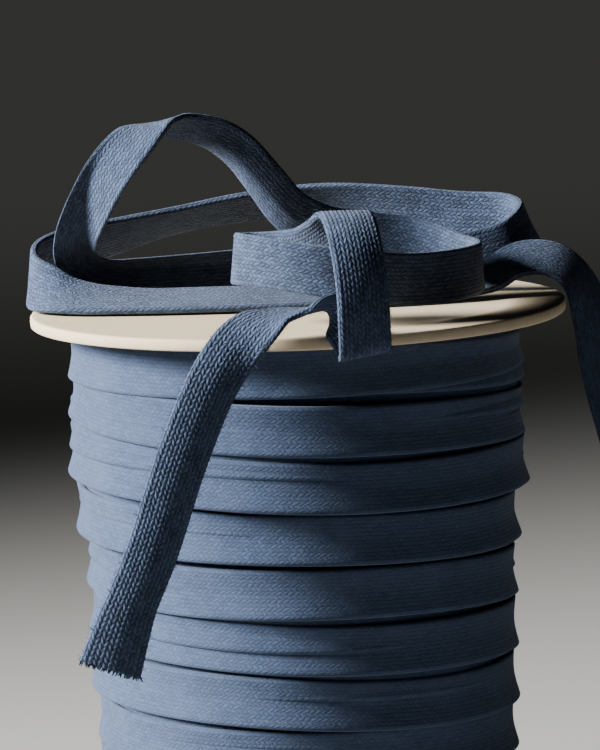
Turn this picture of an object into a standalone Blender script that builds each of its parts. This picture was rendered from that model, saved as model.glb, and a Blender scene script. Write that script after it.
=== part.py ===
"""Roll of flat drawstring cord, wound between two round end discs.

The roll stands on its lower disc, with its axis along +Z and the origin at the centre of its base.
The loose end of the cord lies in loops on the upper disc and hangs down on the -Y side.
"""
from collections import namedtuple
from math import atan2, cos, sin

import bmesh
import bpy
import numpy as np
from mathutils import Vector

MM = 0.001

# Driving sizes, in millimetres
FLANGE_RADIUS = 55.0
FLANGE_THICKNESS = 2.4
FLANGE_EDGE = 0.6            # rounding of the disc's rim
ROLL_HEIGHT = 124.8
CORD_WIDTH = 10.4
CORD_THICKNESS = 1.4
CORD_EDGE = 0.5              # rounding of the cord's two selvages
FRAY_SPREAD = 1.22           # the cut end is this much wider than the cord
FRAY_LENGTH = 14.0
GAP = 0.3                    # room between pieces that touch
WINDING_SHIFT = -0.9         # the winding sits a little to the left of the discs
WINDING_LUMP = 0.3           # how uneven the turns are
FLANGE_STEPS = 80
WINDING_STEPS = 60
STATION_STEP = 3.2           # longest stretch between two sections of the loose cord

UPPER_FACE = ROLL_HEIGHT
FLANGE_UNDERSIDE = ROLL_HEIGHT - FLANGE_THICKNESS

# Rows of turns from the top down. Each row overlaps the one below it:
#   z         height of the row's lower edge
#   upper     radius at its upper edge, tucked in
#   lower     radius at its lower edge, standing proud
#   lean_x    rise of the lower edge on the +X side
#   lean_y    rise of the lower edge on the +Y side
Turns = namedtuple("Turns", "z upper lower lean_x lean_y")
WINDING_ROWS = (
    Turns(112.2, 46.2, 47.2, 0.9, 0.5),
    Turns(100.2, 46.6, 48.6, -0.7, 0.9),
    Turns(89.4, 46.9, 47.7, 1.1, -0.6),
    Turns(77.2, 45.2, 46.3, -0.6, -0.8),
    Turns(65.4, 44.4, 45.3, 0.8, 0.7),
    Turns(54.6, 44.0, 44.8, -0.8, 0.4),
    Turns(44.2, 43.2, 44.3, 0.7, -0.7),
    Turns(33.4, 43.1, 44.2, -0.9, -0.3),
    Turns(22.6, 43.4, 44.6, 0.5, 0.8),
    Turns(12.4, 43.9, 45.0, -0.4, 0.3),
    Turns(FLANGE_THICKNESS + GAP, 44.2, 45.2, 0.0, 0.0),
)

# The loose cord from the winding to its cut end:
#   x, y, z              middle of the cord, z counted from the upper disc's face
#   across_x, _y, _z     direction from one selvage to the other
#   cup                  depth of its lengthwise fold
#   crease               place of that fold across the cord, from -1 to 1
Station = namedtuple("Station", "x y z across_x across_y across_z cup crease")
CORD_ROUTE = (
    # leaves the winding, hangs beside the roll and comes up over the right rim
    Station(36.6, -27.0, -103.0, 0.0, 0.0, 1.0, 0.0, 0.0),
    Station(43.2, -19.8, -104.6, 0.03, 0.05, 1.0, 0.0, 0.0),
    Station(52.0, -13.2, -104.8, -0.1, -0.1, 1.0, 0.0, 0.0),
    Station(60.5, -8.8, -101.0, -0.45, -0.35, 0.82, 0.0, 0.0),
    Station(66.6, -6.8, -92.0, -0.6, -0.7, 0.35, 0.0, 0.0),
    Station(69.4, -6.4, -80.0, -0.45, -0.89, 0.05, 0.0, 0.0),
    Station(70.2, -6.6, -64.0, -0.4, -0.9, 0.0, 0.0, 0.0),
    Station(68.8, -5.6, -48.0, -0.55, -0.83, 0.0, 0.0, 0.0),
    Station(65.4, -3.2, -32.0, -0.7, -0.7, 0.0, 0.0, 0.0),
    Station(61.7, -1.0, -15.0, -0.75, -0.65, -0.1, 0.0, 0.0),
    Station(60.6, 1.0, -5.0, -0.75, -0.6, -0.2, 0.0, 0.0),
    Station(57.9, 2.8, 2.8, -0.45, -0.8, -0.35, 0.0, 0.0),
    Station(52.8, 4.5, 7.0, -0.3, -0.8, -0.5, 0.0, 0.0),
    # crosses the disc to the left, lying flat under the ring
    Station(46.0, 5.0, 7.2, -0.1, -0.8, -0.55, 0.0, 0.0),
    Station(39.5, 3.0, 4.0, 0.1, -0.9, -0.45, 0.0, 0.0),
    Station(31.0, -2.0, 1.8, 0.1, -1.0, -0.1, 0.0, 0.0),
    Station(22.0, -4.6, 1.8, 0.1, -0.99, -0.1, 0.0, 0.0),
    Station(10.0, -6.4, 2.5, 0.0, -0.96, -0.28, 0.0, 0.0),
    Station(-8.0, -7.6, 2.6, 0.0, -0.95, -0.3, 0.0, 0.0),
    Station(-22.0, -7.2, 2.6, 0.0, -0.95, -0.3, 0.0, 0.0),
    Station(-30.5, -6.2, 2.6, 0.0, -0.95, -0.3, 0.0, 0.0),
    Station(-37.0, -5.2, 2.85, 0.05, -0.93, -0.36, 0.0, 0.0),
    Station(-43.5, -4.0, 3.3, 0.1, -0.88, -0.46, 0.0, 0.0),
    # turns at the far left and runs to the right along the back, raised
    Station(-49.8, -1.4, 4.4, 0.0, -0.76, -0.65, 0.0, 0.0),
    Station(-54.1, 4.6, 6.0, -0.05, -0.4, -0.91, 0.0, 0.0),
    Station(-54.3, 13.6, 8.4, -0.15, 0.05, -0.98, 0.0, 0.0),
    Station(-49.6, 22.4, 10.2, -0.25, 0.25, -0.93, 0.0, 0.0),
    Station(-40.4, 29.8, 11.6, -0.3, 0.45, -0.84, 0.0, 0.0),
    Station(-26.0, 35.0, 14.5, -0.2, 0.75, -0.6, 0.0, 0.0),
    Station(-10.0, 37.0, 16.8, 0.0, 0.75, -0.6, 0.0, 0.0),
    Station(6.0, 35.5, 17.3, 0.0, 0.6, -0.8, 0.0, 0.0),
    Station(22.0, 32.0, 15.8, 0.0, 0.3, -0.95, 0.0, 0.0),
    Station(35.0, 29.0, 14.2, 0.0, 0.1, -1.0, 0.0, 0.0),
    # turns at the right and comes back to the left, standing on the disc
    Station(45.0, 25.5, 13.8, 0.2, 0.1, -1.0, 0.0, 0.0),
    Station(49.0, 18.5, 12.6, 0.4, 0.0, -0.9, 0.0, 0.0),
    Station(45.0, 12.5, 9.5, 0.2, -0.2, -1.0, 0.0, 0.0),
    Station(36.0, 12.0, 7.2, 0.0, -0.1, -1.0, 0.0, 0.0),
    Station(22.0, 15.5, 5.8, 0.0, 0.0, -1.0, -0.4, -0.1),
    Station(7.0, 17.5, 5.6, 0.0, 0.0, -1.0, -1.2, -0.2),
    Station(-8.0, 17.0, 5.4, 0.0, 0.0, -1.0, -2.0, -0.3),
    Station(-22.0, 14.0, 5.2, 0.0, 0.05, -1.0, -2.5, -0.35),
    Station(-33.0, 10.8, 5.2, -0.04, 0.1, -1.0, -2.7, -0.4),
    # the tall arch, rolled over its outer face at the top
    Station(-38.8, 9.2, 5.3, -0.2, 0.0, -0.98, -2.7, -0.48),
    Station(-43.2, 7.0, 7.1, -0.66, 0.0, -0.75, -2.75, -0.54),
    Station(-45.5, 4.2, 11.0, -0.96, 0.05, -0.25, -2.8, -0.45),
    Station(-45.0, 1.4, 15.2, -0.97, 0.15, -0.02, -2.7, -0.15),
    Station(-43.4, -0.6, 19.0, -0.95, 0.24, 0.1, -2.4, 0.15),
    Station(-41.4, -2.4, 22.8, -0.92, 0.33, 0.17, -1.9, 0.45),
    Station(-38.4, -3.5, 28.0, -0.88, 0.4, 0.27, -1.2, 0.6),
    Station(-34.2, -3.5, 33.2, -0.84, 0.46, 0.29, -0.5, 0.5),
    Station(-30.8, -1.8, 36.3, -0.84, 0.5, 0.1, 0.0, 0.0),
    Station(-27.9, 1.2, 37.9, -0.74, 0.65, -0.14, 0.0, 0.0),
    Station(-24.9, 3.8, 37.5, -0.6, 0.66, -0.38, 0.0, 0.0),
    Station(-21.0, 5.6, 36.9, -0.4, 0.76, -0.5, -0.6, 0.0),
    Station(-16.0, 6.5, 35.3, -0.4, 0.7, -0.58, -1.4, 0.0),
    Station(-11.0, 6.4, 31.8, -0.5, 0.56, -0.66, -2.0, 0.0),
    Station(-6.0, 5.6, 25.6, -0.6, 0.42, -0.68, -2.2, 0.0),
    Station(-0.8, 5.2, 18.8, -0.62, 0.25, -0.75, -2.0, 0.0),
    Station(6.0, 6.4, 14.7, -0.4, 0.0, -0.9, -1.5, 0.0),
    # the ring, once round and inside itself
    Station(15.0, 7.0, 12.8, -0.1, 0.0, -1.0, -1.0, 0.0),
    Station(26.0, 5.0, 11.3, 0.2, 0.0, -1.0, -1.0, 0.0),
    Station(35.0, -3.0, 9.0, 0.3, 0.2, -1.0, -0.5, 0.0),
    Station(37.0, -15.0, 8.2, 0.0, 0.0, -1.0, 0.0, 0.0),
    Station(30.5, -28.0, 8.2, 0.0, 0.0, -1.0, 0.0, 0.0),
    Station(20.0, -37.5, 9.0, 0.0, 0.05, -1.0, 0.0, 0.0),
    Station(9.0, -42.6, 11.0, 0.0, 0.12, -1.0, 0.0, 0.0),
    Station(-1.0, -40.6, 12.5, -0.05, 0.2, -1.0, 0.0, 0.0),
    Station(-8.2, -35.8, 13.4, -0.1, 0.2, -1.0, 0.0, 0.0),
    Station(-12.0, -30.4, 13.4, -0.1, 0.1, -1.0, 0.0, 0.0),
    Station(-9.6, -27.0, 13.0, 0.0, 0.0, -1.0, 0.0, 0.0),
    Station(-4.0, -28.2, 13.2, 0.15, 0.0, -1.0, 0.0, 0.0),
    Station(2.0, -32.6, 14.8, 0.6, 0.1, -0.8, 0.0, 0.0),
    Station(6.6, -37.8, 18.4, 0.9, 0.1, -0.45, 0.0, 0.0),
    # over the ring's wall, down in front of the rim and folded up again
    Station(9.2, -44.0, 22.4, 0.99, 0.1, -0.1, 0.0, 0.0),
    Station(10.2, -51.8, 23.1, 0.99, 0.08, 0.0, 0.3, 0.0),
    Station(11.4, -59.0, 19.2, 0.98, 0.16, -0.06, 0.5, 0.0),
    Station(12.4, -62.3, 12.0, 0.97, 0.24, 0.0, 0.5, 0.0),
    Station(12.7, -62.6, 3.0, 0.97, 0.24, 0.06, 0.3, 0.0),
    Station(12.7, -61.4, -2.2, 0.97, 0.16, 0.15, 0.0, 0.0),
    Station(12.4, -58.9, -2.4, 0.97, 0.0, 0.2, 0.0, 0.0),
    Station(11.5, -57.9, -0.3, 0.97, -0.2, 0.5, 0.0, 0.0),
    # a short bridge to the left, then the end that hangs free
    Station(8.8, -57.7, 3.9, 0.8, -0.36, 0.6, 0.0, 0.0),
    Station(5.6, -56.4, 6.1, 0.38, -0.93, 0.29, 0.0, 0.0),
    Station(1.5, -55.4, 5.4, 0.0, -1.0, 0.1, 0.0, 0.0),
    Station(-3.4, -56.0, 4.8, 0.25, -0.95, -0.1, 0.0, 0.0),
    Station(-8.2, -57.8, 2.7, 0.75, -0.55, -0.35, 0.5, 0.0),
    Station(-12.4, -59.3, -1.0, 0.95, -0.1, -0.25, 0.7, 0.0),
    Station(-17.0, -60.2, -7.5, 0.98, 0.08, -0.15, 0.9, 0.0),
    Station(-23.5, -60.6, -22.0, 0.99, 0.12, -0.1, 0.9, 0.0),
    Station(-30.0, -61.0, -40.0, 0.98, 0.12, -0.15, 0.9, 0.0),
    Station(-35.2, -61.5, -52.0, 0.96, 0.12, -0.25, 0.9, 0.0),
    Station(-39.0, -62.0, -62.5, 0.93, 0.12, -0.35, 0.9, 0.0),
)

# Colours as linear red, green and blue
CORD_BLUE = (0.13, 0.17, 0.26)
BOARD_CREAM = (0.62, 0.55, 0.43)


def clear_scene():
    for item in list(bpy.data.objects):
        bpy.data.objects.remove(item, do_unlink=True)


def new_collection(name):
    group = bpy.data.collections.new(name)
    bpy.context.scene.collection.children.link(group)
    return group


def new_material(name, colour, roughness):
    material = bpy.data.materials.new(name)
    material.use_nodes = True
    shader = material.node_tree.nodes["Principled BSDF"]
    shader.inputs["Base Color"].default_value = (*colour, 1.0)
    shader.inputs["Roughness"].default_value = roughness
    shader.inputs["Metallic"].default_value = 0.0
    return material


def add_object(name, mesh, group, material):
    piece = bpy.data.objects.new(name, mesh)
    group.objects.link(piece)
    mesh.materials.append(material)
    return piece


def shade(mesh, angle=0.7):
    mesh.shade_smooth()
    mesh.set_sharp_from_angle(angle=angle)


def turned(name, profile, steps, group, material):
    """A profile of (radius, height) points, top to bottom, turned about Z with a Screw modifier."""
    mesh = bpy.data.meshes.new(name)
    points = [(radius * MM, 0.0, height * MM) for radius, height in profile]
    mesh.from_pydata(points, [(i, i + 1) for i in range(len(points) - 1)], [])
    piece = add_object(name, mesh, group, material)
    screw = piece.modifiers.new("Turn", "SCREW")
    screw.axis = "Z"
    screw.steps = steps
    screw.render_steps = steps
    screw.use_merge_vertices = True
    screw.merge_threshold = 0.00001
    screw.use_smooth_shade = True
    return piece


def applied(piece):
    """Replace the object's mesh by the one that its modifiers give."""
    evaluated = piece.evaluated_get(bpy.context.evaluated_depsgraph_get())
    mesh = bpy.data.meshes.new_from_object(evaluated)
    piece.modifiers.clear()
    piece.data = mesh
    return piece


def make_flange(name, underside, group, material):
    """A thin round disc with a softened rim."""
    top = underside + FLANGE_THICKNESS
    inner = FLANGE_RADIUS - FLANGE_EDGE
    mid = FLANGE_RADIUS - 0.3 * FLANGE_EDGE
    profile = (
        (0.0, top),
        (inner, top),
        (mid, top - 0.3 * FLANGE_EDGE),
        (FLANGE_RADIUS, top - FLANGE_EDGE),
        (FLANGE_RADIUS, underside + FLANGE_EDGE),
        (mid, underside + 0.3 * FLANGE_EDGE),
        (inner, underside),
        (0.0, underside),
    )
    return turned(name, profile, FLANGE_STEPS, group, material)


def winding_profile():
    """The rows of turns in section: each swells downwards and ends in a rounded lower edge."""
    top = FLANGE_UNDERSIDE - GAP
    profile = [(0.0, top), (WINDING_ROWS[0].upper - 1.0, top)]
    for row in WINDING_ROWS:
        height = top - row.z
        profile.append((row.upper, top - 0.12 * height))
        profile.append((0.5 * (row.upper + row.lower) + 0.2, top - 0.5 * height))
        profile.append((row.lower, top - 0.86 * height))
        profile.append((row.lower - 0.35, row.z))
        top = row.z
    profile.append((0.0, WINDING_ROWS[-1].z))
    return profile


def lean_at(height):
    """Rise of a row's edge towards +X and +Y at this height, eased between the rows."""
    heights = [row.z for row in reversed(WINDING_ROWS)] + [FLANGE_UNDERSIDE - GAP]
    lean_x = [row.lean_x for row in reversed(WINDING_ROWS)] + [0.0]
    lean_y = [row.lean_y for row in reversed(WINDING_ROWS)] + [0.0]
    return np.interp(height, heights, lean_x), np.interp(height, heights, lean_y)


def make_winding(group, material):
    """The wound cord as one solid, its rows leaning and swelling a little unevenly."""
    piece = applied(turned("cord_winding", winding_profile(), WINDING_STEPS, group, material))
    for vertex in piece.data.vertices:
        radius = vertex.co.to_2d().length / MM
        height = vertex.co.z / MM
        if radius < 1.0:
            continue
        angle = atan2(vertex.co.y, vertex.co.x)
        lean_x, lean_y = lean_at(height)
        end = min(height - WINDING_ROWS[-1].z, FLANGE_UNDERSIDE - GAP - height)
        lump = WINDING_LUMP * min(1.0, end / 4.0)
        radius += lump * (sin(2.0 * angle + height / 9.0) + 0.6 * sin(5.0 * angle - height / 5.0))
        height += lean_x * cos(angle) + lean_y * sin(angle)
        vertex.co = Vector((WINDING_SHIFT + radius * cos(angle), radius * sin(angle), height)) * MM
    shade(piece.data)
    return piece


def blend(before, after, start, end, at):
    return ((end - at) * before + (at - start) * after) / (end - start)


def smooth_route(stations, longest):
    """A centripetal Catmull-Rom curve through the stations, every column eased alike."""
    rows = np.array(stations, dtype=float)
    rows[:, 2] += UPPER_FACE
    rows = np.vstack([2.0 * rows[0] - rows[1], rows, 2.0 * rows[-1] - rows[-2]])
    curve = []
    for p0, p1, p2, p3 in zip(rows, rows[1:], rows[2:], rows[3:]):
        t0 = 0.0
        t1 = t0 + np.linalg.norm(p1[:3] - p0[:3]) ** 0.5
        t2 = t1 + np.linalg.norm(p2[:3] - p1[:3]) ** 0.5
        t3 = t2 + np.linalg.norm(p3[:3] - p2[:3]) ** 0.5
        parts = max(2, int(np.ceil(np.linalg.norm(p2[:3] - p1[:3]) / longest)))
        for t in np.linspace(t1, t2, parts, endpoint=False):
            a1 = blend(p0, p1, t0, t1, t)
            a2 = blend(p1, p2, t1, t2, t)
            a3 = blend(p2, p3, t2, t3, t)
            curve.append(blend(blend(a1, a2, t0, t2, t), blend(a2, a3, t1, t3, t), t1, t2, t))
    curve.append(rows[-2])
    return np.array(curve)


def unit(vectors):
    return vectors / np.linalg.norm(vectors, axis=1)[:, None]


def cord_section(width, cup, crease):
    """The cord's section as (across, out) pairs: flat, with rounded selvages and a lengthwise fold."""
    half = (0.25 * width * width - cup * cup) ** 0.5
    face = 0.5 * CORD_THICKNESS
    return (
        (-half, 0.0),
        (CORD_EDGE - half, -face),
        (crease * half, cup - face),
        (half - CORD_EDGE, -face),
        (half, 0.0),
        (half - CORD_EDGE, face),
        (crease * half, cup + face),
        (CORD_EDGE - half, face),
    )


def make_loose_cord(group, material):
    """The loose cord: its flat section lofted along the route, with a spread cut end."""
    curve = smooth_route(CORD_ROUTE, STATION_STEP)
    middle = curve[:, :3]
    ahead = unit(np.gradient(middle, axis=0))
    across = curve[:, 3:6]
    across = unit(across - np.sum(across * ahead, axis=1)[:, None] * ahead)
    out = np.cross(ahead, across)
    to_end = np.linalg.norm(middle - middle[-1], axis=1)
    spread = 1.0 + (FRAY_SPREAD - 1.0) * np.clip(1.0 - to_end / FRAY_LENGTH, 0.0, 1.0)

    shape = bmesh.new()
    rings = []
    for place, side, face, wide, fold in zip(middle, across, out, spread, curve[:, 6:]):
        section = cord_section(CORD_WIDTH * wide, *fold)
        rings.append([shape.verts.new((place + side * a + face * b) * MM) for a, b in section])
    for ring, following in zip(rings, rings[1:]):
        for i in range(len(ring)):
            j = (i + 1) % len(ring)
            shape.faces.new((ring[i], ring[j], following[j], following[i]))
    shape.faces.new(rings[0])
    shape.faces.new(rings[-1])
    bmesh.ops.recalc_face_normals(shape, faces=shape.faces)
    mesh = bpy.data.meshes.new("cord_loose")
    shape.to_mesh(mesh)
    shape.free()
    shade(mesh)
    return add_object("cord_loose", mesh, group, material)


def main():
    clear_scene()
    group = new_collection("drawstring_cord_roll")
    cord = new_material("cotton_cord", CORD_BLUE, 0.95)
    board = new_material("pale_board", BOARD_CREAM, 0.7)
    make_flange("flange_bottom", 0.0, group, board)
    make_flange("flange_top", FLANGE_UNDERSIDE, group, board)
    make_winding(group, cord)
    make_loose_cord(group, cord)


main()
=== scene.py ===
"""Roll of flat drawstring cord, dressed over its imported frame.

A braided cotton cord is wound in lapped turns between two pale board discs. Its loose end lies in
loops on the upper disc and hangs down in front. Lengths are in metres, +Z is up, and the camera
looks along +Y.
"""

from collections import namedtuple
from math import cos, pi, radians, sin, tau

import bmesh
import bpy
import numpy as np
from bpy.props import FloatProperty, FloatVectorProperty, PointerProperty
from mathutils import Matrix, Vector, noise


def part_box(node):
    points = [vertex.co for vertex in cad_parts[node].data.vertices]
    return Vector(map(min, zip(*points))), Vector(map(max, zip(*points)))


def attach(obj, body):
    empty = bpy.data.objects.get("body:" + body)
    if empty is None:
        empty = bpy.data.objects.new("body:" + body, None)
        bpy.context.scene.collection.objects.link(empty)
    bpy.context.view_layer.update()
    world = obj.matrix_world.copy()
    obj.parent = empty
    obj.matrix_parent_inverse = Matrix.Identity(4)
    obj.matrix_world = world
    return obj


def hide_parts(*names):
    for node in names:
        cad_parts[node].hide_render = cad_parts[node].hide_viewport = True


bl_info = {
    "name": "Drawstring cord roll",
    "version": (1, 0, 0),
    "blender": (4, 5, 0),
    "location": "View3D > Sidebar > Cord roll",
    "description": "Builds a roll of flat braided drawstring cord with its loose end",
    "category": "Add Mesh",
}

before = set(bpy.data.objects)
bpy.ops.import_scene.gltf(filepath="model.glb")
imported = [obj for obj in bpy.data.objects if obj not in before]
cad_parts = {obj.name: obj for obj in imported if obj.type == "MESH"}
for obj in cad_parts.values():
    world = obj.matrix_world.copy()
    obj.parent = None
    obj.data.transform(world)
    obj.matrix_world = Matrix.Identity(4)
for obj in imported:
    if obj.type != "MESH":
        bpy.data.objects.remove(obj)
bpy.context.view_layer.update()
MM = 0.001
SEED = 11
MERGE_DISTANCE = 0.000001

# The discs, as the solids have them
UPPER_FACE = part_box("flange_top")[1][2]
DISC_RADIUS = 0.055
DISC_THICKNESS = 0.0024
RIM_ROUND = 0.0006           # rounding of the worn rim
RIM_START = 0.0535           # radius where the faces end and the rim begins
DENT_START = 0.0537          # radius outside which the rim is dented

# The cord's braid
BRAID_COLUMNS = 28           # columns of stitches round the cord, half of them on each face
RELIEF = 0.15 * MM           # how far a stitch stands proud of the groove beside it
LEVEL_RELIEF = 0.75          # share of it that lies level with the plain section
RELIEF_STEPS = (0.0006, 0.0012)   # section spacings with full relief and with none
SLANT = 0.85                 # lean of a stitch, in stitch lengths over its column
UNEVENNESS = 0.13            # how far a row of stitches is out of line, in stitches
CORNER = 0.5 * MM            # rounding of the selvages
DEEP_FOLD = 0.0015           # depth at which a lengthwise fold is at its sharpest
FRAY_SPREAD = 1.22           # widening of the cord at its cut end
FRAY_LENGTH = 0.014          # length over which it widens
FRAY_YARNS = 96
YARN_LENGTH = 0.0009         # the shortest yarn, and what a longer one adds at most
YARN_ROOT = 0.0006           # how far a yarn's foot lies inside the cut end
FUZZ_FIBRES = 1350
FUZZ_BATCH = 30              # fibres made together, which is quicker than all at once
FIBRE_RADIUS = 0.000045
SHORT_STEP = 0.2             # section spacing close to the camera, in stitches
LONG_STEP = 0.0016           # section spacing elsewhere

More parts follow.
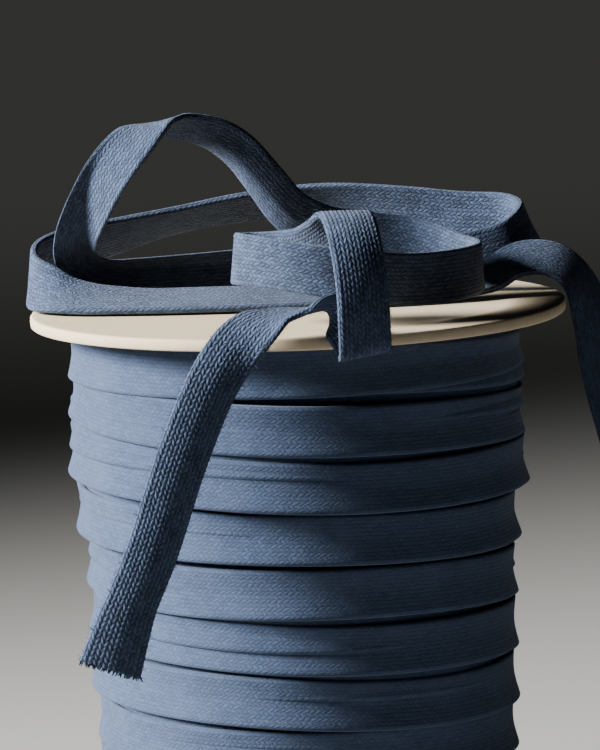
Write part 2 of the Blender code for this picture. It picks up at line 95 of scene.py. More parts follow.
# The loose cord from the winding to its cut end:
#   x, y, z              middle of the cord, z counted from the upper disc's face
#   across_x, _y, _z     direction from one selvage to the other
#   cup                  depth of its lengthwise fold
#   crease               place of that fold across the cord, from -1 to 1
Station = namedtuple("Station", "x y z across_x across_y across_z cup crease")
CORD_ROUTE = (
    # leaves the winding, hangs beside the roll and comes up over the right rim
    Station(0.0366, -0.027, -0.103, 0.0, 0.0, 1.0, 0.0, 0.0),
    Station(0.0432, -0.0198, -0.1046, 0.03, 0.05, 1.0, 0.0, 0.0),
    Station(0.052, -0.0132, -0.1048, -0.1, -0.1, 1.0, 0.0, 0.0),
    Station(0.0605, -0.0088, -0.101, -0.45, -0.35, 0.82, 0.0, 0.0),
    Station(0.0666, -0.0068, -0.092, -0.6, -0.7, 0.35, 0.0, 0.0),
    Station(0.0694, -0.0064, -0.08, -0.45, -0.89, 0.05, 0.0, 0.0),
    Station(0.0702, -0.0066, -0.064, -0.4, -0.9, 0.0, 0.0, 0.0),
    Station(0.0688, -0.0056, -0.048, -0.55, -0.83, 0.0, 0.0, 0.0),
    Station(0.0654, -0.0032, -0.032, -0.7, -0.7, 0.0, 0.0, 0.0),
    Station(0.0617, -0.001, -0.015, -0.75, -0.65, -0.1, 0.0, 0.0),
    Station(0.0606, 0.001, -0.005, -0.75, -0.6, -0.2, 0.0, 0.0),
    Station(0.0579, 0.0028, 0.0028, -0.45, -0.8, -0.35, 0.0, 0.0),
    Station(0.0528, 0.0045, 0.007, -0.3, -0.8, -0.5, 0.0, 0.0),
    # crosses the disc to the left, lying flat under the ring
    Station(0.046, 0.005, 0.0072, -0.1, -0.8, -0.55, 0.0, 0.0),
    Station(0.0395, 0.003, 0.004, 0.1, -0.9, -0.45, 0.0, 0.0),
    Station(0.031, -0.002, 0.0018, 0.1, -1.0, -0.1, 0.0, 0.0),
    Station(0.022, -0.0046, 0.0018, 0.1, -0.99, -0.1, 0.0, 0.0),
    Station(0.01, -0.0064, 0.0025, 0.0, -0.96, -0.28, 0.0, 0.0),
    Station(-0.008, -0.0076, 0.0026, 0.0, -0.95, -0.3, 0.0, 0.0),
    Station(-0.022, -0.0072, 0.0026, 0.0, -0.95, -0.3, 0.0, 0.0),
    Station(-0.0305, -0.0062, 0.0026, 0.0, -0.95, -0.3, 0.0, 0.0),
    Station(-0.037, -0.0052, 0.00285, 0.05, -0.93, -0.36, 0.0, 0.0),
    Station(-0.0435, -0.004, 0.0033, 0.1, -0.88, -0.46, 0.0, 0.0),
    # turns at the far left and runs to the right along the back, raised
    Station(-0.0498, -0.0014, 0.0044, 0.0, -0.76, -0.65, 0.0, 0.0),
    Station(-0.0541, 0.0046, 0.006, -0.05, -0.4, -0.91, 0.0, 0.0),
    Station(-0.0543, 0.0136, 0.0084, -0.15, 0.05, -0.98, 0.0, 0.0),
    Station(-0.0496, 0.0224, 0.0102, -0.25, 0.25, -0.93, 0.0, 0.0),
    Station(-0.0404, 0.0298, 0.0116, -0.3, 0.45, -0.84, 0.0, 0.0),
    Station(-0.026, 0.035, 0.0145, -0.2, 0.75, -0.6, 0.0, 0.0),
    Station(-0.01, 0.037, 0.0168, 0.0, 0.75, -0.6, 0.0, 0.0),
    Station(0.006, 0.0355, 0.0173, 0.0, 0.6, -0.8, 0.0, 0.0),
    Station(0.022, 0.032, 0.0158, 0.0, 0.3, -0.95, 0.0, 0.0),
    Station(0.035, 0.029, 0.0142, 0.0, 0.1, -1.0, 0.0, 0.0),
    # turns at the right and comes back to the left, standing on the disc
    Station(0.045, 0.0255, 0.0138, 0.2, 0.1, -1.0, 0.0, 0.0),
    Station(0.049, 0.0185, 0.0126, 0.4, 0.0, -0.9, 0.0, 0.0),
    Station(0.045, 0.0125, 0.0095, 0.2, -0.2, -1.0, 0.0, 0.0),
    Station(0.036, 0.012, 0.0072, 0.0, -0.1, -1.0, 0.0, 0.0),
    Station(0.022, 0.0155, 0.0058, 0.0, 0.0, -1.0, -0.0004, -0.1),
    Station(0.007, 0.0175, 0.0056, 0.0, 0.0, -1.0, -0.0012, -0.2),
    Station(-0.008, 0.017, 0.0054, 0.0, 0.0, -1.0, -0.002, -0.3),
    Station(-0.022, 0.014, 0.0052, 0.0, 0.05, -1.0, -0.0025, -0.35),
    Station(-0.033, 0.0108, 0.0052, -0.04, 0.1, -1.0, -0.0027, -0.4),
    # the tall arch, rolled over its outer face at the top
    Station(-0.0388, 0.0092, 0.0053, -0.2, 0.0, -0.98, -0.0027, -0.48),
    Station(-0.0432, 0.007, 0.0071, -0.66, 0.0, -0.75, -0.00275, -0.54),
    Station(-0.0455, 0.0042, 0.011, -0.96, 0.05, -0.25, -0.0028, -0.45),
    Station(-0.045, 0.0014, 0.0152, -0.97, 0.15, -0.02, -0.0027, -0.15),
    Station(-0.0434, -0.0006, 0.019, -0.95, 0.24, 0.1, -0.0024, 0.15),
    Station(-0.0414, -0.0024, 0.0228, -0.92, 0.33, 0.17, -0.0019, 0.45),
    Station(-0.0384, -0.0035, 0.028, -0.88, 0.4, 0.27, -0.0012, 0.6),
    Station(-0.0342, -0.0035, 0.0332, -0.84, 0.46, 0.29, -0.0005, 0.5),
    Station(-0.0308, -0.0018, 0.0363, -0.84, 0.5, 0.1, 0.0, 0.0),
    Station(-0.0279, 0.0012, 0.0379, -0.74, 0.65, -0.14, 0.0, 0.0),
    Station(-0.0249, 0.0038, 0.0375, -0.6, 0.66, -0.38, 0.0, 0.0),
    Station(-0.021, 0.0056, 0.0369, -0.4, 0.76, -0.5, -0.0006, 0.0),
    Station(-0.016, 0.0065, 0.0353, -0.4, 0.7, -0.58, -0.0014, 0.0),
    Station(-0.011, 0.0064, 0.0318, -0.5, 0.56, -0.66, -0.002, 0.0),
    Station(-0.006, 0.0056, 0.0256, -0.6, 0.42, -0.68, -0.0022, 0.0),
    Station(-0.0008, 0.0052, 0.0188, -0.62, 0.25, -0.75, -0.002, 0.0),
    Station(0.006, 0.0064, 0.0147, -0.4, 0.0, -0.9, -0.0015, 0.0),
    # the ring, once round and inside itself
    Station(0.015, 0.007, 0.0128, -0.1, 0.0, -1.0, -0.001, 0.0),
    Station(0.026, 0.005, 0.0113, 0.2, 0.0, -1.0, -0.001, 0.0),
    Station(0.035, -0.003, 0.009, 0.3, 0.2, -1.0, -0.0005, 0.0),
    Station(0.037, -0.015, 0.0082, 0.0, 0.0, -1.0, 0.0, 0.0),
    Station(0.0305, -0.028, 0.0082, 0.0, 0.0, -1.0, 0.0, 0.0),
    Station(0.02, -0.0375, 0.009, 0.0, 0.05, -1.0, 0.0, 0.0),
    Station(0.009, -0.0426, 0.011, 0.0, 0.12, -1.0, 0.0, 0.0),
    Station(-0.001, -0.0406, 0.0125, -0.05, 0.2, -1.0, 0.0, 0.0),
    Station(-0.0082, -0.0358, 0.0134, -0.1, 0.2, -1.0, 0.0, 0.0),
    Station(-0.012, -0.0304, 0.0134, -0.1, 0.1, -1.0, 0.0, 0.0),
    Station(-0.0096, -0.027, 0.013, 0.0, 0.0, -1.0, 0.0, 0.0),
    Station(-0.004, -0.0282, 0.0132, 0.15, 0.0, -1.0, 0.0, 0.0),
    Station(0.002, -0.0326, 0.0148, 0.6, 0.1, -0.8, 0.0, 0.0),
    Station(0.0066, -0.0378, 0.0184, 0.9, 0.1, -0.45, 0.0, 0.0),
    # over the ring's wall, down in front of the rim and folded up again
    Station(0.0092, -0.044, 0.0224, 0.99, 0.1, -0.1, 0.0, 0.0),
    Station(0.0102, -0.0518, 0.0231, 0.99, 0.08, 0.0, 0.0003, 0.0),
    Station(0.0114, -0.059, 0.0192, 0.98, 0.16, -0.06, 0.0005, 0.0),
    Station(0.0124, -0.0623, 0.012, 0.97, 0.24, 0.0, 0.0005, 0.0),
    Station(0.0127, -0.0626, 0.003, 0.97, 0.24, 0.06, 0.0003, 0.0),
    Station(0.0127, -0.0614, -0.0022, 0.97, 0.16, 0.15, 0.0, 0.0),
    Station(0.0124, -0.0589, -0.0024, 0.97, 0.0, 0.2, 0.0, 0.0),
    Station(0.0115, -0.0579, -0.0003, 0.97, -0.2, 0.5, 0.0, 0.0),
    # a short bridge to the left, then the end that hangs free
    Station(0.0088, -0.0577, 0.0039, 0.8, -0.36, 0.6, 0.0, 0.0),
    Station(0.0056, -0.0564, 0.0061, 0.38, -0.93, 0.29, 0.0, 0.0),
    Station(0.0015, -0.0554, 0.0054, 0.0, -1.0, 0.1, 0.0, 0.0),
    Station(-0.0034, -0.056, 0.0048, 0.25, -0.95, -0.1, 0.0, 0.0),
    Station(-0.0082, -0.0578, 0.0027, 0.75, -0.55, -0.35, 0.0005, 0.0),
    Station(-0.0124, -0.0593, -0.001, 0.95, -0.1, -0.25, 0.0007, 0.0),
    Station(-0.017, -0.0602, -0.0075, 0.98, 0.08, -0.15, 0.0009, 0.0),
    Station(-0.0235, -0.0606, -0.022, 0.99, 0.12, -0.1, 0.0009, 0.0),
    Station(-0.03, -0.061, -0.04, 0.98, 0.12, -0.15, 0.0009, 0.0),
    Station(-0.0352, -0.0615, -0.052, 0.96, 0.12, -0.25, 0.0009, 0.0),
    Station(-0.039, -0.062, -0.0625, 0.93, 0.12, -0.35, 0.0009, 0.0),
)

CLOSE_FROM = 72              # the station from which the cord lies close to the camera

# Lower edges of the wound turns where they pass the front, top to bottom
TURN_EDGES = (
    0.1180, 0.1118, 0.1004, 0.0897, 0.0779, 0.0670, 0.0553, 0.0450, 0.0343, 0.0235, 0.0130, 0.0030,
)
# Outer radius of the winding against height
WINDING_OUTLINE = (
    (0.0, 0.0449), (0.012, 0.0447), (0.023, 0.0443), (0.034, 0.0440), (0.044, 0.0440),
    (0.054, 0.0445), (0.061, 0.0448), (0.0735, 0.0452), (0.082, 0.0458), (0.088, 0.0471),
    (0.0975, 0.0482), (0.107, 0.0473), (0.117, 0.0470), (0.122, 0.0468),
)
WINDING_SHIFT = -0.0009      # the winding sits a little to the left of the discs
WINDING_GAP = 0.0003         # room between the winding and each disc
WINDING_FLOOR = DISC_THICKNESS + WINDING_GAP
WINDING_TOP = UPPER_FACE - DISC_THICKNESS - WINDING_GAP
WINDING_RADIUS = 0.045       # its rough radius, for the pattern only
TURN_MIDDLE = 0.97           # middle of a turn above its lower edge, in half widths
TURN_SECTIONS = 150          # sections in one wound turn
EXIT_EASE = 0.35             # turns in which the cord eases out to where it leaves
UNDER_SECTIONS = 100         # the same in the layer that shows in the gaps
UNDER_DEPTH = 0.0010         # how much deeper that layer lies
TUCK_DEPTH = 0.004           # how far the winding's two ends dive out of sight
START_DEPTH = 0.0017         # depth at which the turns below the exit begin
INNER_DEPTH = 0.0034         # depth of the turned body behind the turns

# Camera, as the photograph was taken
CAMERA_AIM = Vector((-0.00005, 0.0, 0.11019))
CAMERA_DISTANCE = 1.0
CAMERA_ELEVATION = radians(7.818)
CAMERA_ROLL = radians(2.016)
CAMERA_LENS = 233.08
SENSOR = 36.0

# The stage, with a light's size in metres and its spread in degrees
Lamp = namedtuple("Lamp", "name place aim size spread colour")
KEY_LIGHT = Lamp("key", (-1.30, -0.14, 0.64), (0.0, 0.0, 0.09), 0.45, 40.0, (1.0, 0.985, 0.96))
FAR_LIGHT = Lamp("far_floor", (0.0, 2.75, 1.1), (0.0, 2.75, 0.0), 3.7, 70.0, (1.0, 0.99, 0.94))
SKY = (0.80, 0.86, 1.0)
FLOOR_SIZE = 9.0


class CordSettings(bpy.types.PropertyGroup):
    width: FloatProperty(
        name="Width", description="Width of the flat cord", default=0.0104, unit="LENGTH")
    thickness: FloatProperty(
        name="Thickness", description="Thickness of the flat cord", default=0.0014, unit="LENGTH")
    stitch: FloatProperty(
        name="Stitch", description="Length of one stitch of the braid", default=0.0012,
        unit="LENGTH")
    # The colour is the dye on the stitch crowns. The groove colour is painted shade in the hollows
    # between the stitches.
    colour: FloatVectorProperty(
        name="Colour", description="Dyed cotton where the light falls on it", subtype="COLOR",
        size=3, default=(0.060, 0.090, 0.163), min=0.0, max=1.0)
    groove_shade: FloatVectorProperty(
        name="Groove", description="Dyed cotton between the stitches", subtype="COLOR",
        size=3, default=(0.016, 0.025, 0.048), min=0.0, max=1.0)


class DiscSettings(bpy.types.PropertyGroup):
    colour: FloatVectorProperty(
        name="Colour", description="Face of the board discs", subtype="COLOR",
        size=3, default=(0.600, 0.500, 0.350), min=0.0, max=1.0)
    shade: FloatVectorProperty(
        name="Shade", description="Darker fibres of the board", subtype="COLOR",
        size=3, default=(0.440, 0.350, 0.230), min=0.0, max=1.0)


class StageSettings(bpy.types.PropertyGroup):
    floor: FloatVectorProperty(
        name="Floor", description="Colour of the floor", subtype="COLOR",
        size=3, default=(0.34, 0.34, 0.33), min=0.0, max=1.0)
    key: FloatProperty(
        name="Key light", description="Power of the large light on the left", default=8.6,
        unit="POWER")
    far: FloatProperty(
        name="Far floor", description="Power of the light on the floor far behind", default=4.5,
        unit="POWER")
    fill: FloatProperty(
        name="Fill", description="Strength of the even light from all round", default=0.006)


class Amount:
    """A number on a shader socket. Sums on it add Math nodes to its material."""

    def __init__(self, finish, socket):
        self.finish = finish
        self.socket = socket

    def _with(self, operation, *values):
        return self.finish.node("ShaderNodeMath", {"operation": operation}, dict(enumerate(values)))

    def __add__(self, other):
        return self._with("ADD", self, other)

    def __radd__(self, other):
        return self._with("ADD", other, self)

    def __sub__(self, other):
        return self._with("SUBTRACT", self, other)

    def __rsub__(self, other):
        return self._with("SUBTRACT", other, self)

    def __mul__(self, other):
        return self._with("MULTIPLY", self, other)

    def __rmul__(self, other):
        return self._with("MULTIPLY", other, self)

    def __pow__(self, other):
        return self._with("POWER", self, other)

    def __mod__(self, other):
        return self._with("FLOORED_MODULO", self, other)

    def floor(self):
        return self._with("FLOOR", self)

    def sine(self):
        return self._with("SINE", self)

    def at_least(self, other):
        return self._with("MAXIMUM", self, other)

    def at_most(self, other):
        return self._with("MINIMUM", self, other)


class Finish:
    """The nodes of one material."""

    def __init__(self, name):
        self.material = bpy.data.materials.new(name)
        self.material.use_nodes = True
        self.tree = self.material.node_tree
        self.shader = self.tree.nodes["Principled BSDF"]

    def put(self, socket, value):
        if isinstance(value, Amount):
            self.tree.links.new(value.socket, socket)
        else:
            socket.default_value = value

    def node(self, kind, settings=None, values=None, out=0):
        """A node of this kind with its settings, then its sockets' values or links."""
        node = self.tree.nodes.new(kind)
        for name, value in (settings or {}).items():
            setattr(node, name, value)
        for name, value in (values or {}).items():
            self.put(node.inputs[name], value)
        return Amount(self, node.outputs[out])

    def mix(self, part, first, second):
        """Between two colours."""
        settings = {"data_type": "RGBA"}
        return self.node("ShaderNodeMix", settings, {0: part, 6: first, 7: second}, out=2)

    def grain(self, place, scale, detail=2.0, roughness=0.5):
        """Noise at this many waves a metre, or a unit of the coordinates."""
        values = {"Vector": place, "Scale": scale, "Detail": detail, "Roughness": roughness}
        return self.node("ShaderNodeTexNoise", None, values)

    def split(self, vector):
        node = self.tree.nodes.new("ShaderNodeSeparateXYZ")
        self.put(node.inputs[0], vector)
        return [Amount(self, socket) for socket in node.outputs]

    def set(self, **values):
        for name, value in values.items():
            self.put(self.shader.inputs[name.replace("_", " ")], value)


def solid(colour):
    return (*colour, 1.0)


def cotton_finish(cord, name, depth):
    """Braided cotton: slanted stitches in columns with painted shade in their grooves, each a
    little different.

    The depth is 1 where the cord lies loose, and less where tension has closed the braid.
    """
    finish = Finish(name)
    pattern = finish.node("ShaderNodeTexCoord", out=2)
    place = finish.node("ShaderNodeTexCoord", out=3)
    across, along, _ = finish.split(pattern)
    drift = finish.grain(place, 900.0, 2.0, 0.6) - 0.5
    across = across + drift * 0.7
    along = along + drift * 0.9
    column = across.floor()
    within = across - column
    odd = column % 2.0
    lean = 1.0 - odd * 2.0
    run = along + lean * SLANT * (within - 0.5) + odd * 0.5
    row = run.floor()
    crown = (within * pi).sine().at_least(0.02)
    swell = ((run - row) * pi).sine().at_least(0.02)
    stitch = (crown * swell) ** 0.6

    spot = finish.node("ShaderNodeCombineXYZ", None, {0: column, 1: row})
    one = finish.node("ShaderNodeTexWhiteNoise", {"noise_dimensions": "2D"}, {"Vector": spot})
    fibre = finish.grain(place, 5200.0, 3.0, 0.7)
    cloud = finish.grain(place, 90.0, 2.0)

    # Mix factor: crowns lighter and grooves darker is painted shade; each stitch's random tint and
    # the fibre noise are the cotton's own.
    light = 0.6 + depth * ((stitch - 0.64) * 0.85 + (one - 0.5) * 0.65) + (fibre - 0.5) * 0.9
    light = light.at_least(0.0).at_most(1.0)
    # Painted shade: the groove colour darkens the hollows between the stitches.
    colour = finish.mix(light, solid(cord.groove_shade), solid(cord.colour))
    faded = tuple(min(1.0, 0.9 * part + 0.012) for part in cord.colour)
    colour = finish.mix((cloud - 0.42) * 0.9, colour, solid(faded))

    height = stitch + (one - 0.5) * 0.35 + (fibre - 0.5) * 0.8
    bump = finish.node("ShaderNodeBump", None, {
        "Strength": 0.9, "Distance": RELIEF * 1.1 * depth, "Height": height})
    finish.set(Base_Color=colour, Roughness=0.92, Normal=bump, Specular_IOR_Level=0.2,
               Sheen_Weight=0.1, Sheen_Roughness=0.5)
    finish.set(Sheen_Tint=(0.72, 0.80, 0.92, 1.0))
    return finish.material


def board_finish(disc):
    """Pale board: short fibres and faint blotches on its faces, fine layers round its rim."""
    finish = Finish("pale_board_discs")
    place = finish.node("ShaderNodeTexCoord", out=3)
    x, y, z = finish.split(place)
    fibres = finish.node("ShaderNodeMapping", None, {"Vector": place, "Scale": (1.0, 4.0, 1.0)})
    fine = finish.grain(fibres, 900.0, 4.0, 0.65)
    cloud = finish.grain(place, 45.0, 3.0)
    speck = (finish.grain(place, 2600.0, 1.0) - 0.66).at_least(0.0) * 5.0
    radius = (x * x + y * y) ** 0.5
    rim = ((radius - (DISC_RADIUS - 0.0005)) * 4000.0).at_least(0.0).at_most(1.0)
    layer = finish.grain(z * 9000.0 + fine * 1.2, 1.0, 1.0)
    mottle = (fine - 0.5) * 0.8 + (cloud - 0.5) * 0.7 + rim * (layer - 0.5) * 0.9
    shade = (mottle + 0.3 + speck).at_least(0.0).at_most(1.0)
    colour = finish.mix(shade, solid(disc.colour), solid(disc.shade))
    height = fine + rim * layer
    bump = finish.node("ShaderNodeBump", None, {
        "Strength": 0.5, "Distance": 0.00006, "Height": height})
    finish.set(Base_Color=colour, Roughness=0.72, Normal=bump, Specular_IOR_Level=0.3)
    return finish.material


def floor_finish(stage):
    finish = Finish("studio_floor")
    finish.set(Base_Color=solid(stage.floor), Roughness=0.9, Specular_IOR_Level=0.1)
    return finish.material


def placed(name, data):
    """An object with this data, in the scene."""
    thing = bpy.data.objects.new(name, data)
    bpy.context.scene.collection.objects.link(thing)
    return thing


def made(name, shape, material):
    """An object from a bmesh."""
    mesh = bpy.data.meshes.new(name)
    shape.to_mesh(mesh)
    shape.free()
    mesh.materials.append(material)
    return placed(name, mesh)


def finished(name, shape, material, slot, *nodes):
    """An object from a bmesh, riding with the roll and standing for these nodes."""
    piece = made(name, shape, material)
    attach(piece, "root")
    if nodes:
        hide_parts(*nodes)
    return piece


def blend(before, after, start, end, at):
    """The value at this place, from the values at the start and the end."""
    return ((end - at) * before + (at - start) * after) / (end - start)


def smooth_route(stations, step_at):
    """A centripetal Catmull-Rom curve through the stations, every column eased alike."""
    rows = np.array(stations, dtype=float)
    rows[:, 2] += UPPER_FACE
    rows = np.vstack([2.0 * rows[0] - rows[1], rows, 2.0 * rows[-1] - rows[-2]])
    curve = []
    for number, (p0, p1, p2, p3) in enumerate(zip(rows, rows[1:], rows[2:], rows[3:])):
        t0 = 0.0
        t1 = t0 + np.linalg.norm(p1[:3] - p0[:3]) ** 0.5
        t2 = t1 + np.linalg.norm(p2[:3] - p1[:3]) ** 0.5
        t3 = t2 + np.linalg.norm(p3[:3] - p2[:3]) ** 0.5
        parts = max(2, int(np.ceil(np.linalg.norm(p2[:3] - p1[:3]) / step_at(number))))
        for t in np.linspace(t1, t2, parts, endpoint=False):
            a1 = blend(p0, p1, t0, t1, t)
            a2 = blend(p1, p2, t1, t2, t)
            a3 = blend(p2, p3, t2, t3, t)
            curve.append(blend(blend(a1, a2, t0, t2, t), blend(a2, a3, t1, t3, t), t1, t2, t))
    curve.append(rows[-2])
    return np.array(curve)


def unit(vectors):
    return vectors / np.linalg.norm(vectors, axis=-1)[..., None]


def arc_length(points):
    """The way gone at each point."""
    steps = np.linalg.norm(np.diff(points, axis=0), axis=1)
    return np.concatenate([[0.0], np.cumsum(steps)])


def cord_axes(middle, across):
    """Unit directions along the cord, across it and out of its face, at each place of a route."""
    ahead = unit(np.gradient(middle, axis=0))
    across = unit(across - np.sum(across * ahead, axis=1)[:, None] * ahead)
    return ahead, across, np.cross(ahead, across)


def cord_outline(width, thickness, count):
    """Points round the flat cord's section, evenly spaced, with their outward directions.

    They start in the middle of one selvage and go round over the outer face. A column is
    (across, out, outward_across, outward_out).
    """
    flat = 0.5 * width - CORNER
    side = 0.5 * thickness - CORNER
    corners = (((-flat, side), pi), ((flat, side), 0.5 * pi), ((flat, -side), 0.0),
               ((-flat, -side), -0.5 * pi))
    path = [(-0.5 * width, 0.0, -1.0, 0.0)]
    for (x, y), start in corners:
        for turn in np.linspace(0.0, 0.5 * pi, 9):
            angle = start - turn
            path.append((x + CORNER * cos(angle), y + CORNER * sin(angle), cos(angle), sin(angle)))
    path.append(path[0])
    path = np.array(path)
    gone = arc_length(path[:, :2])
    at = np.linspace(0.0, gone[-1], count, endpoint=False)
    points = np.stack([np.interp(at, gone, path[:, i]) for i in range(4)], axis=1)
    points[:, 2:] = unit(points[:, 2:])
    return points


def braid_relief(across, along):
    """How far the stitches stand out, from 0 in a groove to 1."""
    column = np.floor(across)
    within = across - column
    odd = column % 2.0
    run = along + (1.0 - 2.0 * odd) * SLANT * (within - 0.5) + 0.5 * odd
    swell = np.sin(pi * (run - np.floor(run)))
    crown = np.sin(pi * within)
    return (np.maximum(crown, 0.02) * np.maximum(swell, 0.02)) ** 0.6


def rolled_strip(rings, along, columns):
    """A bmesh grid rolled into a tube of the given rings, with a UV map of columns and stitches."""
    count, around = rings.shape[:2]
    shape = bmesh.new()
    shape.loops.layers.uv.new("UVMap")
    bmesh.ops.create_grid(
        shape, x_segments=around, y_segments=count - 1, size=0.5, calc_uvs=True)
    mesh = bpy.data.meshes.new("strip")
    shape.to_mesh(mesh)
    flat = np.empty(3 * len(mesh.vertices))
    mesh.vertices.foreach_get("co", flat)
    # the grid's x goes round the tube, and its y along it
    flat = flat.reshape(-1, 3) + 0.5
    i = np.rint(flat[:, 0] * around).astype(int) % around
    j = np.rint(flat[:, 1] * (count - 1)).astype(int)
    mesh.vertices.foreach_set("co", rings[j, i].ravel())
    layer = mesh.uv_layers[0].uv
    pattern = np.empty(2 * len(layer))
    layer.foreach_get("vector", pattern)
    pattern = pattern.reshape(-1, 2)
    pattern[:, 0] *= columns
    row = np.rint(pattern[:, 1] * (count - 1)).astype(int)
    place = np.rint(pattern[:, 0] / columns * around).astype(int) % around
    pattern[:, 1] = along[row, place]
    layer.foreach_set("vector", pattern.ravel())
    shape.clear()
    shape.from_mesh(mesh)
    bpy.data.meshes.remove(mesh)
    bmesh.ops.remove_doubles(shape, verts=shape.verts, dist=MERGE_DISTANCE)
    rim = [edge for edge in shape.edges if edge.is_boundary]
    bmesh.ops.holes_fill(shape, edges=rim, sides=0)
    bmesh.ops.recalc_face_normals(shape, faces=shape.faces)
    for face in shape.faces:
        face.smooth = True
    return shape


def uneven(columns, along):
    """Places along the cord in stitches, each row pulled a little out of line."""
    lines = np.floor(columns)[None, :]
    rows = along[:, None]
    pull = (np.sin(rows * 0.83 + lines * 2.4) + np.sin(rows * 0.31 + lines * 5.1)
            + np.sin(rows * 1.9 + lines * 3.7) * 0.6)
    return rows + UNEVENNESS * pull


def cord_rings(cord, middle, across, cup, crease, wide, relief, per_column):
    """The braided section set at each place of a route.

    A shallow fold is round across the cord, and a deep one is nearly sharp. Each column of
    stitches has per_column points.
    """
    _, across, out = cord_axes(middle, across)
    outline = cord_outline(cord.width, cord.thickness, BRAID_COLUMNS * per_column)
    half = 0.5 * cord.width
    folded = np.sqrt(half * half - cup * cup) / half
    columns = np.arange(len(outline)) / per_column
    along = uneven(columns, arc_length(middle) / cord.stitch)
    raised = braid_relief(columns[None, :], along) - LEVEL_RELIEF
    raised = raised * relief[:, None] * RELIEF
    at = (outline[:, 0] / half)[None, :]
    fold = crease[:, None]
    away = np.where(at > fold, (at - fold) / (1.0 - fold), (fold - at) / (1.0 + fold))
    sharp = 2.0 - 0.8 * np.clip(np.abs(cup) / DEEP_FOLD, 0.0, 1.0)
    shape = 1.0 - np.maximum(away, 0.0) ** sharp[:, None]
    side = outline[None, :, 0] * (wide * folded)[:, None] + outline[None, :, 2] * raised
    face = cup[:, None] * shape + outline[None, :, 1] + outline[None, :, 3] * raised
    rings = middle[:, None] + across[:, None] * side[..., None] + out[:, None] * face[..., None]
    return rings, along


def loose_route(cord):
    """The loose cord's curve, in short steps where it hangs close to the camera."""
    def step_at(number):
        return SHORT_STEP * cord.stitch if number >= CLOSE_FROM else LONG_STEP
    curve = smooth_route(CORD_ROUTE, step_at)
    to_end = np.linalg.norm(curve[:, :3] - curve[-1, :3], axis=1)
    wide = 1.0 + (FRAY_SPREAD - 1.0) * np.clip(1.0 - to_end / FRAY_LENGTH, 0.0, 1.0)
    steps = np.linalg.norm(np.gradient(curve[:, :3], axis=0), axis=1)
    relief = np.interp(steps, RELIEF_STEPS, (1.0, 0.0))
    return curve, wide, relief


def make_loose_cord(cord, material):
    curve, wide, relief = loose_route(cord)
    middle = curve[:, :3]
    rings, along = cord_rings(
        cord, middle, curve[:, 3:6], curve[:, 6], curve[:, 7], wide, relief, per_column=3)
    shape = rolled_strip(rings, along, BRAID_COLUMNS)
    piece = finished("loose_cord", shape, material, "cotton_cord", "cord_loose")
    return piece, middle


def tuft(shape, root, direction, bend, length, radius, sides, segments):
    """One tapered yarn or fibre, drawn out step by step from a small round foot."""
    turn = direction.to_track_quat("Z", "Y").to_matrix().to_4x4()
    foot = bmesh.ops.create_circle(
        shape, cap_ends=True, segments=sides, radius=radius, matrix=Matrix.Translation(root) @ turn)
    ring = foot["verts"]
    face = ring[0].link_faces[0]
    for step in range(segments):
        drawn = bmesh.ops.extrude_discrete_faces(shape, faces=[face])
        face = drawn["faces"][0]
        share = (step + 1.0) / segments
        push = (direction + bend * share).normalized() * (length / segments)
        middle = face.calc_center_median()
        bmesh.ops.translate(shape, verts=face.verts, vec=push)
        thin = 1.0 - 0.35 * share
        bmesh.ops.scale(shape, verts=face.verts, vec=(thin, thin, thin),
                        space=Matrix.Translation(-(middle + push)))


def make_frayed_end(cord, material):
    """Loose yarn ends at the cut, standing a little apart."""
    draw = np.random.default_rng(SEED)
    curve, wide, _ = loose_route(cord)
    end = curve[-1, :3]
    ahead, across, out = (axes[-1] for axes in cord_axes(curve[:, :3], curve[:, 3:6]))
    shape = bmesh.new()
    half = 0.5 * cord.width * wide[-1] - 0.0004
    for number in range(FRAY_YARNS):
        side = (number / (FRAY_YARNS - 1.0) * 2.0 - 1.0) * half
        face = (draw.random() - 0.5) * 0.7 * cord.thickness
        root = end + across * side + out * face - ahead * YARN_ROOT
        aside = side / half * 0.15 + draw.normal(0.0, 0.16)
        lean = ahead + across * aside + out * draw.normal(0.0, 0.22)
        bend = across * draw.normal(0.0, 0.35) + out * draw.normal(0.0, 0.35)
        length = YARN_LENGTH + YARN_LENGTH * draw.random()
        tuft(shape, Vector(root), Vector(lean).normalized(), Vector(bend), length,
             0.00019 + 0.00009 * draw.random(), 6, 3)
    bmesh.ops.recalc_face_normals(shape, faces=shape.faces)
    for face in shape.faces:
        face.smooth = True
    return finished("frayed_end", shape, material, "cotton_cord")


def make_fuzz(cord, material):
    """Fine loose fibres that stand off the selvages and faces of the hanging cord."""
    draw = np.random.default_rng(SEED + 1)
    curve, wide, _ = loose_route(cord)
    middle = curve[:, :3]
    ahead, across, out = cord_axes(middle, curve[:, 3:6])
    steps = np.linalg.norm(np.gradient(middle, axis=0), axis=1)
    near = np.flatnonzero(steps < 0.5 * cord.stitch)
    parts = []
    for number in range(FUZZ_FIBRES):
        if number % FUZZ_BATCH == 0:
            shape = bmesh.new()
            parts.append(shape)
        place = near[draw.integers(len(near))]
        side = draw.choice((-1.0, 1.0))
        # two in three stand off a selvage, the rest off a face
        if number % 3:
            root = across[place] * side * (0.5 * cord.width * wide[place] - 0.0002)
            root = root + out[place] * draw.normal(0.0, 0.25) * cord.thickness
            lean = across[place] * side
        else:
            root = across[place] * (draw.random() - 0.5) * 0.9 * cord.width
            root = root + out[place] * side * (0.5 * cord.thickness - 0.0001)
            lean = out[place] * side
        lean = lean + ahead[place] * draw.normal(0.0, 0.8) + out[place] * draw.normal(0.0, 0.4)
        bend = Vector(draw.normal(0.0, 0.9, 3))
        tuft(shape, Vector(middle[place] + root), Vector(lean).normalized(), bend,
             0.0005 + 0.0008 * draw.random() ** 2, FIBRE_RADIUS, 3, 3)
    shape = joined(parts)
    bmesh.ops.recalc_face_normals(shape, faces=shape.faces)
    return finished("fuzz", shape, material, "cotton_cord")


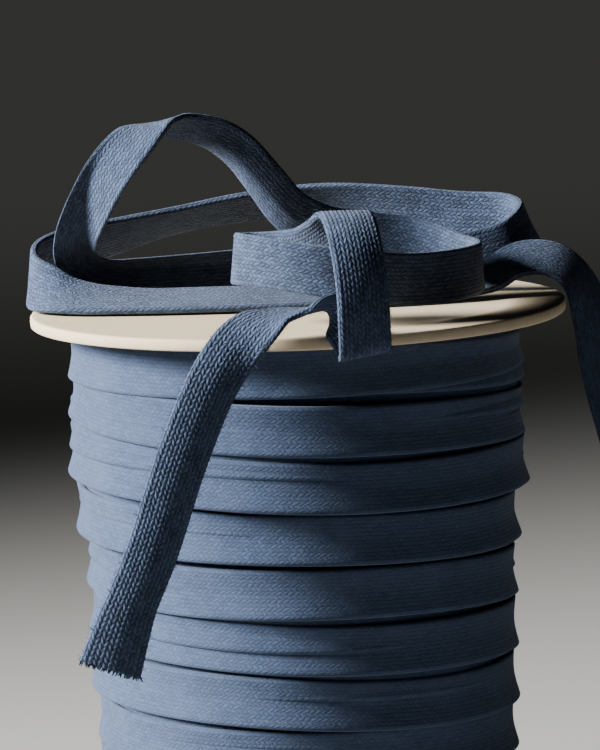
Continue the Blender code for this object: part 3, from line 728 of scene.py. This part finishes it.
def waves(draw, turn, sizes):
    """A gentle wander along the winding: waves of these lengths in turns, and sizes."""
    total = np.zeros(len(turn))
    for length, size in sizes:
        total += size * np.sin(tau * (turn / length + draw.random()))
    return total


def winding_radius(height):
    """Outer radius of the winding at this height."""
    heights, radii = zip(*WINDING_OUTLINE)
    return np.interp(height, heights, radii)


def turn_path(cord, turn, draw, sunk):
    """Direction from the axis, radius, height, lean and bulge of the cord at these turns."""
    half = 0.5 * cord.width
    edge = np.interp(turn, np.arange(len(TURN_EDGES)), TURN_EDGES)
    edge += waves(draw, turn, ((0.83, 0.0005), (0.37, 0.0003), (2.3, 0.0003)))
    height = np.clip(edge + half * TURN_MIDDLE, WINDING_FLOOR + half, WINDING_TOP - half)
    radius = winding_radius(height) - 0.5 * cord.thickness - sunk
    radius += waves(draw, turn, ((0.61, 0.00018), (0.29, 0.00012), (3.1, 0.00015)))
    lean = 0.0004 + waves(draw, turn, ((1.37, 0.0002),))
    bulge = 0.00085 + waves(draw, turn, ((0.53, 0.00015),))
    angle = -0.5 * pi + tau * turn
    ray = np.stack([np.cos(angle), np.sin(angle), np.zeros(len(turn))], axis=1)
    return ray, radius - 0.6 * bulge, height, lean / half, bulge


def wound_strip(cord, ray, radius, height, lean, bulge):
    """One flat cord wound round the axis, standing on its selvage and bulging outwards."""
    middle = ray * radius[:, None]
    middle[:, 0] += WINDING_SHIFT
    middle[:, 2] = height
    across = -ray * lean[:, None]
    across[:, 2] = 1.0
    flat = np.zeros(len(ray))
    rings, along = cord_rings(
        cord, middle, across, -bulge, flat, flat + 1.0, flat, per_column=1)
    return rolled_strip(rings, along, BRAID_COLUMNS)


def make_winding(cord, material):
    """The wound turns, side by side, down to where the loose end leaves them.

    The turns below that place belong to the layer underneath. Another layer shows in the gaps.
    """
    draw = np.random.default_rng(SEED)
    last = len(TURN_EDGES) - 1
    start = CORD_ROUTE[0]
    leaves = np.arctan2(start.y, start.x - WINDING_SHIFT)
    exit_turn = last - 2 + (leaves + 0.5 * pi) / tau
    parts = []

    # from the back under the upper disc to the place where the loose cord leaves
    turn = np.linspace(-0.5, exit_turn, int((exit_turn + 0.5) * TURN_SECTIONS))
    tucked = TUCK_DEPTH * np.clip(-2.0 * turn, 0.0, 1.0)
    ray, radius, height, lean, bulge = turn_path(cord, turn, draw, tucked)
    ease = np.clip((turn - exit_turn) / EXIT_EASE + 1.0, 0.0, 1.0)
    ease = ease * ease * (3.0 - 2.0 * ease)
    out = np.hypot(start.x - WINDING_SHIFT, start.y)
    radius = radius + (out - radius) * ease
    height = height + (UPPER_FACE + start.z - height) * ease
    parts.append(wound_strip(cord, ray, radius, height, lean * (1.0 - ease), bulge * (1.0 - ease)))

    # the turns below, which come out from under the first
    turn = np.linspace(exit_turn - 0.6, last + 0.5, int((last + 1.1 - exit_turn) * TURN_SECTIONS))
    sunk = START_DEPTH * np.clip(1.0 - (turn - exit_turn) / 0.5, 0.0, 1.0)
    sunk += TUCK_DEPTH * np.clip(2.0 * (turn - last), 0.0, 1.0)
    parts.append(wound_strip(cord, *turn_path(cord, turn, draw, sunk)))

    # the layer in the gaps, half a width higher
    half = 0.5 * cord.width
    turn = np.linspace(0.0, last, last * UNDER_SECTIONS)
    ray, radius, height, lean, bulge = turn_path(cord, turn, draw, UNDER_DEPTH)
    height = np.minimum(height + half, WINDING_TOP - half)
    parts.append(wound_strip(cord, ray, radius, height, lean, bulge))
    parts.append(inner_turns(cord))
    return finished("cord_turns", joined(parts), material, "cotton_cord", "cord_winding")


def joined(parts):
    """One bmesh made of several."""
    whole = bmesh.new()
    for part in parts:
        mesh = bpy.data.meshes.new("part")
        part.to_mesh(mesh)
        part.free()
        whole.from_mesh(mesh)
        bpy.data.meshes.remove(mesh)
    return whole


def turned(profile, steps):
    """A bmesh of this profile of radius and height, spun round the axis in so many steps."""
    shape = bmesh.new()
    points = [shape.verts.new((radius, 0.0, height)) for radius, height in profile]
    edges = [shape.edges.new(pair) for pair in zip(points, points[1:])]
    bmesh.ops.spin(shape, geom=points + edges, axis=(0.0, 0.0, 1.0), cent=(0.0, 0.0, 0.0),
                   steps=steps, angle=tau, use_merge=True)
    bmesh.ops.remove_doubles(shape, verts=shape.verts, dist=MERGE_DISTANCE)
    bmesh.ops.recalc_face_normals(shape, faces=shape.faces)
    return shape


def inner_turns(cord):
    """The layers below the outer turns, as one turned body just inside them."""
    profile = [(0.0, WINDING_TOP)]
    for height in np.linspace(WINDING_TOP, WINDING_FLOOR, 60):
        profile.append((winding_radius(height) - INNER_DEPTH, height))
    profile.append((0.0, WINDING_FLOOR))
    shape = turned(profile, steps=120)
    uv = shape.loops.layers.uv.new("UVMap")
    bmesh.ops.translate(shape, verts=shape.verts, vec=(WINDING_SHIFT, 0.0, 0.0))
    pitch = cord.width / (0.5 * BRAID_COLUMNS)
    for face in shape.faces:
        face.smooth = abs(face.normal.z) < 0.9
        start = face.calc_center_median()
        around = np.arctan2(start.y, start.x)
        for loop in face.loops:
            place = loop.vert.co
            angle = np.arctan2(place.y, place.x)
            angle += tau * np.rint((around - angle) / tau)
            loop[uv].uv = (place.z / pitch, angle * WINDING_RADIUS / cord.stitch)
    return shape


def make_disc(name, underside, node, material):
    """A board disc with a softly worn rim."""
    top = underside + DISC_THICKNESS
    flat = 0.5 * DISC_THICKNESS - RIM_ROUND
    profile = [(0.0, top), (0.02, top), (0.04, top), (0.05, top), (RIM_START, top)]
    for angle in np.linspace(0.5 * pi, -0.5 * pi, 9):
        rise = flat * np.sign(sin(angle)) if abs(sin(angle)) > 0.01 else 0.0
        profile.append((DISC_RADIUS - RIM_ROUND + RIM_ROUND * cos(angle),
                        underside + 0.5 * DISC_THICKNESS + rise + RIM_ROUND * sin(angle)))
    profile += [(RIM_START, underside), (0.05, underside), (0.03, underside), (0.0, underside)]
    shape = turned(profile, steps=288)
    for vert in shape.verts:
        radius = vert.co.to_2d().length
        if radius > DENT_START:
            dent = noise.noise(vert.co * 420.0) * 0.00007
            dent += min(0.0, noise.noise(vert.co * 170.0) + 0.42) * 0.0004
            vert.co.xy *= (radius + dent) / radius
    for face in shape.faces:
        face.smooth = True
    piece = finished(name, shape, material, "pale_board", node)
    piece.data.set_sharp_from_angle(angle=0.9)
    return piece


def make_floor(material):
    shape = bmesh.new()
    bmesh.ops.create_grid(shape, x_segments=2, y_segments=2, size=FLOOR_SIZE)
    floor = made("floor", shape, material)


def add_light(lamp, power):
    """A square soft light whose cone keeps to its own part of the stage."""
    light = bpy.data.lights.new(lamp.name, "AREA")
    light.shape = "SQUARE"
    light.size = lamp.size
    light.energy = power
    light.color = lamp.colour
    light.spread = radians(lamp.spread)
    thing = placed(lamp.name, light)
    thing.location = lamp.place
    way = Vector(lamp.aim) - Vector(lamp.place)
    thing.rotation_euler = way.to_track_quat("-Z", "Y").to_euler()


def make_camera():
    """The camera at the photograph's height, tilt and slight roll."""
    back = Vector((0.0, -cos(CAMERA_ELEVATION), sin(CAMERA_ELEVATION)))
    right = Vector((1.0, 0.0, 0.0))
    up = back.cross(right)
    rolled_right = right * cos(CAMERA_ROLL) - up * sin(CAMERA_ROLL)
    rolled_up = up * cos(CAMERA_ROLL) + right * sin(CAMERA_ROLL)
    data = bpy.data.cameras.new("camera")
    data.sensor_width = SENSOR
    data.lens = CAMERA_LENS
    data.clip_start = 0.01
    data.clip_end = 50.0
    camera = placed("camera", data)
    turn = Matrix((rolled_right, rolled_up, back)).transposed().to_4x4()
    camera.matrix_world = Matrix.Translation(CAMERA_AIM + back * CAMERA_DISTANCE) @ turn
    bpy.context.scene.camera = camera


class CORDROLL_OT_camera(bpy.types.Operator):
    """Set the camera as the photograph was taken"""
    bl_idname = "cord_roll.camera"
    bl_label = "Set camera"

    def execute(self, context):
        make_camera()
        return {"FINISHED"}


class CORDROLL_OT_loose_cord(bpy.types.Operator):
    """Add the loose end of the cord with its frayed cut"""
    bl_idname = "cord_roll.loose_cord"
    bl_label = "Add loose cord"

    def execute(self, context):
        cord = context.scene.cord_roll_cord
        cotton = cotton_finish(cord, "braided_cotton", 1.0)
        piece, middle = make_loose_cord(cord, cotton)
        ends = make_frayed_end(cord, cotton)
        fuzz = make_fuzz(cord, cotton)
        [tuple(point) for point in middle[::3]] + [tuple(middle[-1])]
        return {"FINISHED"}


class CORDROLL_OT_winding(bpy.types.Operator):
    """Add the wound turns of the cord"""
    bl_idname = "cord_roll.winding"
    bl_label = "Add winding"

    def execute(self, context):
        cord = context.scene.cord_roll_cord
        make_winding(cord, cotton_finish(cord, "wound_cotton", 0.4))
        return {"FINISHED"}


class CORDROLL_OT_discs(bpy.types.Operator):
    """Add the two board discs"""
    bl_idname = "cord_roll.discs"
    bl_label = "Add discs"

    def execute(self, context):
        board = board_finish(context.scene.cord_roll_disc)
        make_disc("upper_disc", UPPER_FACE - DISC_THICKNESS, "flange_top", board)
        make_disc("lower_disc", 0.0, "flange_bottom", board)
        return {"FINISHED"}


class CORDROLL_OT_stage(bpy.types.Operator):
    """Add the floor and the lights"""
    bl_idname = "cord_roll.stage"
    bl_label = "Add stage"

    def execute(self, context):
        stage = context.scene.cord_roll_stage
        make_floor(floor_finish(stage))
        add_light(KEY_LIGHT, stage.key)
        add_light(FAR_LIGHT, stage.far)
        world = bpy.data.worlds.new("studio")
        world.use_nodes = True
        background = world.node_tree.nodes["Background"]
        background.inputs["Color"].default_value = solid(SKY)
        background.inputs["Strength"].default_value = stage.fill
        context.scene.world = world
        return {"FINISHED"}


class CORDROLL_PT_sidebar(bpy.types.Panel):
    """Lists the steps that build the roll"""
    bl_idname = "CORDROLL_PT_sidebar"
    bl_label = "Cord roll"
    bl_space_type = "VIEW_3D"
    bl_region_type = "UI"
    bl_category = "Cord roll"

    def draw(self, context):
        layout = self.layout
        for group in (context.scene.cord_roll_cord, context.scene.cord_roll_disc,
                      context.scene.cord_roll_stage):
            for name in group.bl_rna.properties.keys():
                if name not in ("rna_type", "name"):
                    layout.prop(group, name)
        for step in STEPS:
            layout.operator(step.bl_idname)


STEPS = (
    CORDROLL_OT_camera,
    CORDROLL_OT_loose_cord,
    CORDROLL_OT_winding,
    CORDROLL_OT_discs,
    CORDROLL_OT_stage,
)
CLASSES = (CordSettings, DiscSettings, StageSettings, *STEPS, CORDROLL_PT_sidebar)


def register():
    for cls in CLASSES:
        bpy.utils.register_class(cls)
    bpy.types.Scene.cord_roll_cord = PointerProperty(type=CordSettings)
    bpy.types.Scene.cord_roll_disc = PointerProperty(type=DiscSettings)
    bpy.types.Scene.cord_roll_stage = PointerProperty(type=StageSettings)


def unregister():
    del bpy.types.Scene.cord_roll_stage
    del bpy.types.Scene.cord_roll_disc
    del bpy.types.Scene.cord_roll_cord
    for cls in reversed(CLASSES):
        bpy.utils.unregister_class(cls)


def main():
    register()
    bpy.ops.cord_roll.camera()
    bpy.ops.cord_roll.loose_cord()
    bpy.ops.cord_roll.winding()
    bpy.ops.cord_roll.discs()
    bpy.ops.cord_roll.stage()


if __name__ == "__main__":
    main()
